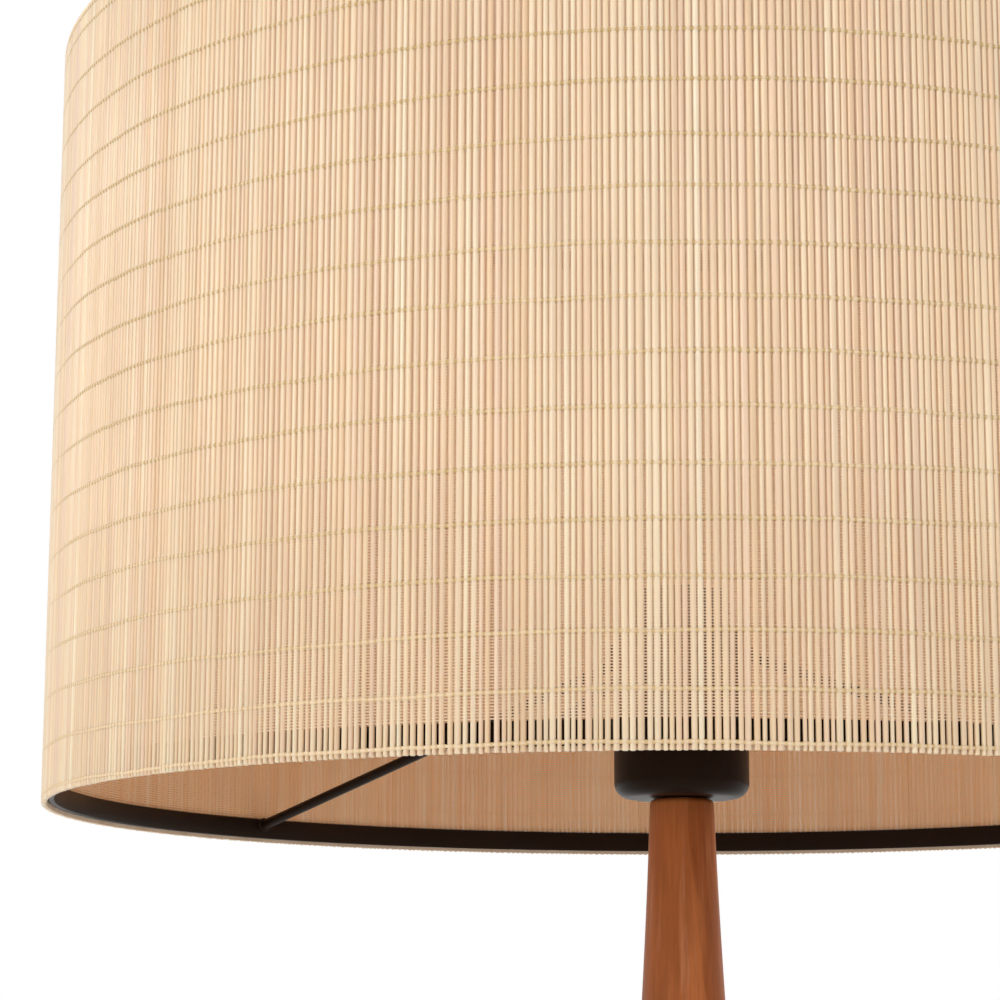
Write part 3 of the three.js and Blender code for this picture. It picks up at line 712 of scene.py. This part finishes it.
cloth = backingMaterial()
edgeTape = coatedMaterial(
    "edgeTape", backing["tapeShade"], backing["tapeColor"], (0.84, 0.95), 2200.0, 90.0, 0.00005, specular=0.15)
reedCrown = matCentre + reeds["depth"] / 2
clothLow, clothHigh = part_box("shade_liner")
clothRadius = reedCrown - backing["depth"]
backingCloth = makeBacking("backingCloth", clothRadius, clothLow.z, clothHigh.z, cloth)
tapeRadius = reedCrown - backing["tapeDepth"]
lowTape = rimHeight + backing["tapeInset"]
highTape = shadeTop - backing["tapeInset"]
makeBacking("lowerTape", tapeRadius, lowTape, lowTape + backing["tapeHeight"], edgeTape)
makeBacking("upperTape", tapeRadius, highTape - backing["tapeHeight"], highTape, edgeTape)


# liner and bands inside the reeds

def makeLiner():
    low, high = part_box("shade_liner")
    outer = high.x
    settings = {"thickness": 0.0002, "steps": 240, "tuck": 0.004}  # tuck is hidden behind each band
    middle = outer - 0.0003
    inner = middle - settings["thickness"] / 2
    outline = [
        (inner, low.z), (inner + settings["thickness"], low.z),
        (inner + settings["thickness"], high.z), (inner, high.z),
    ]
    bm = spinOutline(outline, settings["steps"])
    piece = makePiece("linerMesh", bm, linerMaterial(), ["shade_liner"])
    return piece


bandShape = {"thickness": 0.002, "rounding": 0.0005, "steps": 240}


def makeBand(name, node):
    low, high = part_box(node)
    outer = high.x
    inner = outer - bandShape["thickness"]
    soft = bandShape["rounding"]
    outline = [(inner, low.z, soft), (outer, low.z, soft), (outer, high.z, soft), (inner, high.z, soft)]
    return makePiece(name, spinOutline(outline, bandShape["steps"]), blackCoat, [node])


makeBand("lowerBand", "shade_bottom_ring")
makeBand("upperBand", "shade_top_ring")
makeLiner()


# spider: three rods from the lower band up to the hub

spider = {
    "firstTurn": 140.4,  # degrees
    "rodRadius": 0.002,
    "rodSides": 20,
    "beadRadius": 0.0026,
    "seatShare": 0.7,  # where a rod meets the lower band, as a share of its height
    "hubBite": 0.0002,  # how far a rod's axis starts inside the hub
    "bandRoom": 0.0006,  # how far it ends before the band
}


def makeArm(index):
    hubLow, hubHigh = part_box("spider_hub")
    bandLow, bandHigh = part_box("shade_bottom_ring")
    bandInner = bandHigh.x - bandShape["thickness"]
    seatHeight = bandLow.z + (bandHigh.z - bandLow.z) * spider["seatShare"]
    start = Vector((hubHigh.y - spider["hubBite"], 0, (hubLow.z + hubHigh.z) / 2))
    end = Vector((bandInner - spider["bandRoom"], 0, seatHeight))
    run = end - start
    bm = bmesh.new()
    lay = Matrix.Translation((start + end) / 2) @ run.to_track_quat("Z", "Y").to_matrix().to_4x4()
    bmesh.ops.create_cone(
        bm, cap_ends=True, segments=spider["rodSides"], radius1=spider["rodRadius"],
        radius2=spider["rodRadius"], depth=run.length, matrix=lay)
    for place, size in ((start, (0.7, 1.0, 0.9)), (end, (0.22, 1.3, 1.1))):
        bead = Matrix.Translation(place) @ Matrix.Diagonal((*size, 1))
        bmesh.ops.create_uvsphere(bm, u_segments=20, v_segments=12, radius=spider["beadRadius"], matrix=bead)
    turn = Matrix.Rotation(math.radians(spider["firstTurn"] + 120 * index), 4, "Z")
    bmesh.ops.transform(bm, matrix=turn, verts=bm.verts)
    return makePiece(f"spiderRod{index + 1}", bm, blackCoat, [f"spider_arm_{index + 1}"])


for armIndex in range(3):
    makeArm(armIndex)


def makeHub():
    low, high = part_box("spider_hub")
    settings = {"bore": 0.0184, "rounding": 0.0009, "steps": 96}
    soft = settings["rounding"]
    outline = [
        (settings["bore"], low.z, soft / 2), (high.y, low.z, soft),
        (high.y, high.z, soft), (settings["bore"], high.z, soft / 2),
    ]
    bm = spinOutline(outline, settings["steps"])
    return makePiece("spiderHub", bm, blackCoat, ["spider_hub"])


def makeRingNut():
    low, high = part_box("shade_ring")
    settings = {"bore": 0.0184, "rounding": 0.0007, "grips": 24, "gripDepth": 0.0008, "steps": 96}
    outer = high.y
    outline = [(settings["bore"], low.z), (outer, low.z), (outer, high.z), (settings["bore"], high.z)]
    bm = spinOutline(outline, settings["steps"])
    perGrip = settings["steps"] // settings["grips"]
    notched = []
    for face in bm.faces:
        middle = face.calc_center_median()
        slot = int((math.atan2(middle.y, middle.x) % fullTurn) / fullTurn * settings["steps"])
        if math.hypot(middle.x, middle.y) > outer - 0.0004 and slot % perGrip < perGrip // 2:
            notched.append(face)
    bmesh.ops.inset_region(
        bm, faces=notched, thickness=0.0001, depth=-settings["gripDepth"], use_even_offset=True)
    rims = []
    for edge in bm.edges:
        first, second = edge.verts[0].co, edge.verts[1].co
        isLevel = abs(first.z - second.z) < sameSpot
        isOutside = math.hypot(first.x, first.y) > settings["bore"] + 0.001
        if isLevel and isOutside and edge.calc_face_angle(0) > 1.2:
            rims.append(edge)
    bmesh.ops.bevel(bm, geom=rims, offset=0.0003, segments=2, profile=0.5, affect="EDGES", material=-1)
    return makePiece("shadeRingNut", bm, blackCoat, ["shade_ring"])


makeHub()
makeRingNut()


# cup round the lamp holder, and the holder in it

def makeCup():
    low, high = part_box("holder_cup")
    settings = {"radius": 0.0244, "wall": 0.0012, "corner": 0.0055, "bore": 0.0053, "steps": 128}
    inner = settings["radius"] - settings["wall"]
    floorTop = low.z + settings["wall"]
    outline = [
        (settings["bore"], low.z), (settings["radius"], low.z), (settings["radius"], high.z, 0.0004),
        (inner, high.z, 0.0004), (inner, floorTop), (settings["bore"], floorTop),
    ]
    bm = spinOutline(outline, settings["steps"])
    bevelRing(bm, settings["radius"], low.z, settings["corner"], 8)
    bevelRing(bm, inner, floorTop, settings["corner"] - settings["wall"], 8)
    return makePiece("lampCup", bm, blackCoat, ["holder_cup"])


def makeHolderShell():
    low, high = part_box("holder_shell")
    settings = {
        "body": 0.02, "flange": 0.0226, "flangeHeight": 0.003, "socket": 0.0181, "bore": 0.0163, "lip": 0.0142,
        "threadPitch": 0.0025, "threadDepth": 0.0006, "steps": 96,
    }
    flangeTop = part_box("holder_cup")[1].z
    flangeBottom = flangeTop - settings["flangeHeight"]
    socket = settings["socket"]
    turns = int((high.z - 0.002 - flangeTop - 0.001) / settings["threadPitch"])
    outline = [
        (settings["bore"], low.z), (settings["body"], low.z, 0.0006), (settings["body"], flangeBottom),
        (settings["flange"], flangeBottom, 0.0008), (settings["flange"], flangeTop, 0.0008),
        (socket - 0.0004, flangeTop),
    ]
    for halfTurn in range(2 * turns + 1):
        depth = settings["threadDepth"] if halfTurn % 2 == 0 else 0
        outline.append((socket - depth, flangeTop + 0.001 + halfTurn * settings["threadPitch"] / 2, 0.0003))
    outline += [
        (socket - 0.0006, high.z, 0.0008), (settings["lip"], high.z, 0.0006), (settings["lip"], high.z - 0.002),
        (settings["bore"], high.z - 0.002),
    ]
    bm = spinOutline(outline, settings["steps"])
    return makePiece("holderShell", bm, blackResin, ["holder_shell"])


def makeScrewShell():
    low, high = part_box("screw_shell")
    settings = {"wall": 0.0006, "pitch": 0.0036, "depth": 0.001, "samples": 8, "steps": 64}
    outer = high.x
    points = []
    count = int(round((high.z - low.z) / settings["pitch"] * settings["samples"]))
    for index in range(count + 1):
        share = index / settings["samples"]
        inward = settings["depth"] * (0.5 - 0.5 * math.cos(fullTurn * share))
        points.append((outer - inward, low.z + share * settings["pitch"]))
    back = [(radius - settings["wall"], height) for radius, height in reversed(points)]
    bm = spinOutline(points + back, settings["steps"])
    return makePiece("threadedSleeve", bm, lampBrass, ["screw_shell"])


makeCup()
makeHolderShell()
makeScrewShell()


# turned column in three sections

column = {
    "neckRadius": 0.0115,
    "neckSpread": 0.011,
    "bellyRadius": 0.029,
    "bellyDrop": 0.345,
    "ankleRadius": 0.0165,
    "ankleRise": 0.112,
    "footRadius": 0.023,
    "footSpread": 0.013,
    "shoulder": 0.002,
    "groove": 0.001,
    "spigotRadius": 0.011,
    "spigotLength": 0.014,
    "bore": 0.0053,
    "sections": [0, 0.335, 0.665, 1],
    "gap": 0.0003,
    "steps": 96,
    "rings": 40,
}
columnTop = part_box("column_upper")[1].z
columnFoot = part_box("column_lower")[0].z


def eased(share, startValue, endValue, startSlope, endSlope):
    square, cube = share * share, share ** 3
    ends = (2 * cube - 3 * square + 1) * startValue + (3 * square - 2 * cube) * endValue
    return ends + (cube - 2 * square + share) * startSlope + (cube - square) * endSlope


def columnRadius(height):
    drop, rise = columnTop - height, height - columnFoot
    neck, belly, ankle, foot = (column[part + "Radius"] for part in ("neck", "belly", "ankle", "foot"))
    if drop <= column["bellyDrop"]:
        return eased(drop / column["bellyDrop"], neck, belly, column["neckSpread"], 0)
    if rise <= column["ankleRise"]:
        return eased(1 - rise / column["ankleRise"], ankle, foot, 0, column["footSpread"])
    taper = columnTop - columnFoot - column["bellyDrop"] - column["ankleRise"]
    return eased((drop - column["bellyDrop"]) / taper, belly, ankle, 0, 0)


def makeSection(index, name, node, material):
    length = columnTop - columnFoot
    bottom = columnFoot + length * column["sections"][index] + (column["gap"] if index else 0)
    top = columnFoot + length * column["sections"][index + 1]
    bore, spigot, groove = column["bore"], column["spigotRadius"], column["groove"]
    outline = [(bore, bottom)]
    if index:
        spigotBottom = bottom - column["spigotLength"]
        outline = [(bore, spigotBottom), (spigot, spigotBottom), (spigot, bottom)]
    outline.append((columnRadius(bottom) - groove, bottom))
    isTop = index == 2
    sideTop = top - (0 if isTop else groove)
    for step in range(column["rings"] + 1):
        height = bottom + groove + (sideTop - bottom - groove) * step / column["rings"]
        outline.append((columnRadius(height), height))
    if isTop:
        outline.append((bore, top))
    else:
        mortise = spigot + column["gap"]
        mortiseFloor = top - column["spigotLength"]
        outline += [(columnRadius(top) - groove, top), (mortise, top)]
        outline += [(mortise, mortiseFloor), (bore, mortiseFloor)]
    bm = spinOutline(outline, column["steps"])
    if isTop:
        bevelRing(bm, columnRadius(top), top, column["shoulder"], 5)
    return makePiece(name, bm, material, [node])


makeSection(0, "turnedLower", "column_lower", woodMaterial("turnedWoodLower", (-0.021, 0.03, 0.2), 0.012))
makeSection(1, "turnedMiddle", "column_middle", woodMaterial("turnedWoodMiddle", (0.033, 0.017, 0.6), -0.016))
makeSection(2, "turnedUpper", "column_upper", woodMaterial("turnedWoodUpper", (0.0215, 0.018, 1.25), 0.08))


# collar, base and bush

def makeCollar():
    low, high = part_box("foot_collar")
    settings = {
        "floor": 0.004, "recess": 0.0233, "rim": 0.0022, "flare": 0.006, "footHeight": 0.003, "bore": 0.0053,
        "steps": 96,
    }
    rim = settings["recess"] + settings["rim"]
    shoulder = low.z + settings["footHeight"]
    outline = [(settings["bore"], low.z), (rim + settings["flare"], low.z, 0.0004)]
    for step in range(9):
        angle = math.pi / 2 * step / 8
        radius = rim + settings["flare"] * (1 - math.sin(angle))
        outline.append((radius, high.z - (high.z - shoulder) * math.cos(angle)))
    floorTop = low.z + settings["floor"]
    outline += [(settings["recess"], high.z), (settings["recess"], floorTop), (settings["bore"], floorTop)]
    bm = spinOutline(outline, settings["steps"])
    bevelRing(bm, rim, high.z, 0.0006)
    bevelRing(bm, settings["recess"], high.z, 0.0005)
    return makePiece("footCollar", bm, blackCoat, ["foot_collar"])


def makeBaseCover():
    low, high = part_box("base_cover")
    settings = {
        "radius": 0.14, "wall": 0.0012, "edge": 0.006, "crown": 0.004, "seat": 0.0315, "bore": 0.0053,
        "steps": 192,
    }

    def crowned(inset):
        top, outer, crown = high.z - inset, settings["radius"] - inset, settings["crown"]
        points = [(outer, low.z), (outer, top - crown)]
        span = outer - settings["seat"]
        for step in range(1, 9):
            share = step / 8
            points.append((outer - span * share, top - crown * (1 - share) ** 1.5 * 0.999))
        return points + [(settings["bore"], top)]
    bm = spinOutline(crowned(0) + crowned(settings["wall"])[::-1], settings["steps"])
    bevelRing(bm, settings["radius"], high.z - settings["crown"], settings["edge"], 8)
    return makePiece("baseDisc", bm, blackCoat, ["base_cover"])


def makeBush():
    low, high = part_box("cord_grommet")
    settings = {"bore": 0.0034, "neck": 0.0052, "flange": 0.006, "flangeThickness": 0.0016, "steps": 48}
    length = high.y - low.y
    neckLength = length - settings["flangeThickness"]
    outline = [
        (settings["bore"], 0, 0.0005), (settings["neck"], 0, 0.0004), (settings["neck"], neckLength),
        (settings["flange"], neckLength, 0.0004), (settings["flange"], length, 0.0005),
        (settings["bore"], length, 0.0005),
    ]
    bm = spinOutline(outline, settings["steps"])
    lay = Matrix.Translation((0, low.y, (low.z + high.z) / 2)) @ Matrix.Rotation(-math.pi / 2, 4, "X")
    bmesh.ops.transform(bm, matrix=lay, verts=bm.verts)
    return makePiece("cordBush", bm, blackRubber, ["cord_grommet"])


makeCollar()
makeBaseCover()
makeBush()


# turn switch at the back of the cup

def makeKnob():
    low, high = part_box("switch_knob")
    settings = {
        "collar": 0.0058, "collarLength": 0.004, "halfWidth": 0.008, "thickness": 0.005, "bore": 0.0028,
        "soft": 0.0009, "steps": 48,
    }
    axisHeight = (low.z + high.z) / 2
    bore, collar, wingFoot = settings["bore"], settings["collar"], settings["collarLength"]
    outline = [(bore, 0), (collar, 0, 0.0005), (collar, wingFoot, 0.0005), (bore, wingFoot)]
    bm = spinOutline(outline, settings["steps"])
    half = settings["thickness"] / 2
    lift = Matrix.Translation((0, 0, wingFoot))
    wing = bmesh.ops.create_circle(bm, cap_ends=True, segments=32, radius=half, matrix=lift)
    shift = settings["halfWidth"] - half
    for vert in wing["verts"]:
        vert.co.x += shift if vert.co.x > 0 else -shift
    face = wing["verts"][0].link_faces[0]
    raised = bmesh.ops.extrude_face_region(bm, geom=[face])
    top = [item for item in raised["geom"] if isinstance(item, bmesh.types.BMVert)]
    bmesh.ops.translate(bm, verts=top, vec=(0, 0, high.y - low.y - wingFoot))
    rim = [edge for edge in bm.edges if edge.verts[0] in top and edge.verts[1] in top]
    bmesh.ops.bevel(bm, geom=rim, offset=settings["soft"], segments=4, profile=0.5, affect="EDGES", material=-1)
    bmesh.ops.recalc_face_normals(bm, faces=bm.faces)
    lay = Matrix.Translation((0, low.y, axisHeight)) @ Matrix.Rotation(-math.pi / 2, 4, "X")
    bmesh.ops.transform(bm, matrix=lay, verts=bm.verts)
    return makePiece("switchPaddle", bm, blackResin, ["switch_knob"], body="switch")


makeKnob()


# finishes of the solids that show as they are

nodeFinishes = {
    "base_pad": pressedFelt,
    "base_weight": castIron,
    "base_washer": zincSteel,
    "base_nut": zincSteel,
    "pipe_lower": zincSteel,
    "pipe_coupler": zincSteel,
    "pipe_upper": zincSteel,
    "cup_washer": zincSteel,
    "cup_nut": zincSteel,
    "holder_cap": blackResin,
    "holder_core": glazedCeramic,
    "centre_contact": lampBrass,
    "terminal_screw_1": lampBrass,
    "terminal_screw_2": lampBrass,
    "switch_shaft": lampBrass,
}
for nodeName, finish in nodeFinishes.items():
    nodes[nodeName].material_slots[0].material = finish
print("solids finished")


# floor, white surroundings and soft light

studio = {
    "ambient": 0.75,
    "keyStrength": 1.02,
    "keyAngle": 28,  # degrees across, for soft shadows
    "keyFrom": (-0.8, -0.8, 0.42),
    "fillStrength": 0.2,
    "fillAngle": 60,
    "fillFrom": (0.9, -0.6, 0.3),
    "floorColor": screenColor(243, 243, 242),
    "floorRadius": 6.0,
    "fadeFrom": 1.2,  # where the floor starts to turn into the white background
    "fadeTo": 4.8,
}


def makeFloor():
    bm = bmesh.new()
    bmesh.ops.create_circle(bm, cap_ends=True, segments=96, radius=studio["floorRadius"])
    mesh = bpy.data.meshes.new("studioFloor")
    bm.to_mesh(mesh)
    bm.free()
    material, tree, shader, place = newMaterial("floorPaper", Roughness=0.9, Specular_IOR_Level=0.1)
    shader.inputs["Base Color"].default_value = studio["floorColor"]
    far = addNode(tree, "ShaderNodeVectorMath", {0: place}, operation="LENGTH").outputs["Value"]
    fade = remap(tree, far, studio["fadeFrom"], studio["fadeTo"], 0.0, 1.0)
    path = addNode(tree, "ShaderNodeLightPath")
    fade = mathOut(tree, "MULTIPLY", fade, path.outputs["Is Camera Ray"])
    glow = addNode(tree, "ShaderNodeEmission", {"Color": (1, 1, 1, 1), "Strength": 1.0})
    mixed = addNode(tree, "ShaderNodeMixShader", {0: fade, 1: shader.outputs[0], 2: glow.outputs[0]})
    tree.links.new(mixed.outputs[0], tree.nodes["Material Output"].inputs["Surface"])
    mesh.materials.append(material)
    floor = bpy.data.objects.new("studioFloor", mesh)
    bpy.context.scene.collection.objects.link(floor)


def makeWorld():
    world = bpy.data.worlds.new("studioWorld")
    bpy.context.scene.world = world
    world.use_nodes = True
    tree = world.node_tree
    soft = tree.nodes["Background"]
    soft.inputs["Color"].default_value = (1, 1, 1, 1)
    soft.inputs["Strength"].default_value = studio["ambient"]
    white = addNode(tree, "ShaderNodeBackground", {"Color": (1, 1, 1, 1), "Strength": 1.0})
    path = addNode(tree, "ShaderNodeLightPath")
    seen = mathOut(tree, "ADD", path.outputs["Is Camera Ray"], path.outputs["Is Glossy Ray"])
    seen = mathOut(tree, "ADD", seen, path.outputs["Is Transmission Ray"], clamp=True)
    mixed = addNode(tree, "ShaderNodeMixShader", {0: seen, 1: soft.outputs[0], 2: white.outputs[0]})
    tree.links.new(mixed.outputs[0], tree.nodes["World Output"].inputs["Surface"])


def makeSun(name, strength, direction, angle):
    data = bpy.data.lights.new(name, "SUN")
    data.energy = strength
    data.angle = math.radians(angle)
    sun = bpy.data.objects.new(name, data)
    sun.rotation_euler = Vector(direction).to_track_quat("Z", "Y").to_euler()
    sun.location = Vector(direction) * 3 + Vector((0, 0, 1))
    bpy.context.scene.collection.objects.link(sun)


makeFloor()
makeWorld()
makeSun("keyLight", studio["keyStrength"], studio["keyFrom"], studio["keyAngle"])
makeSun("fillLight", studio["fillStrength"], studio["fillFrom"], studio["fillAngle"])
print("studio made")
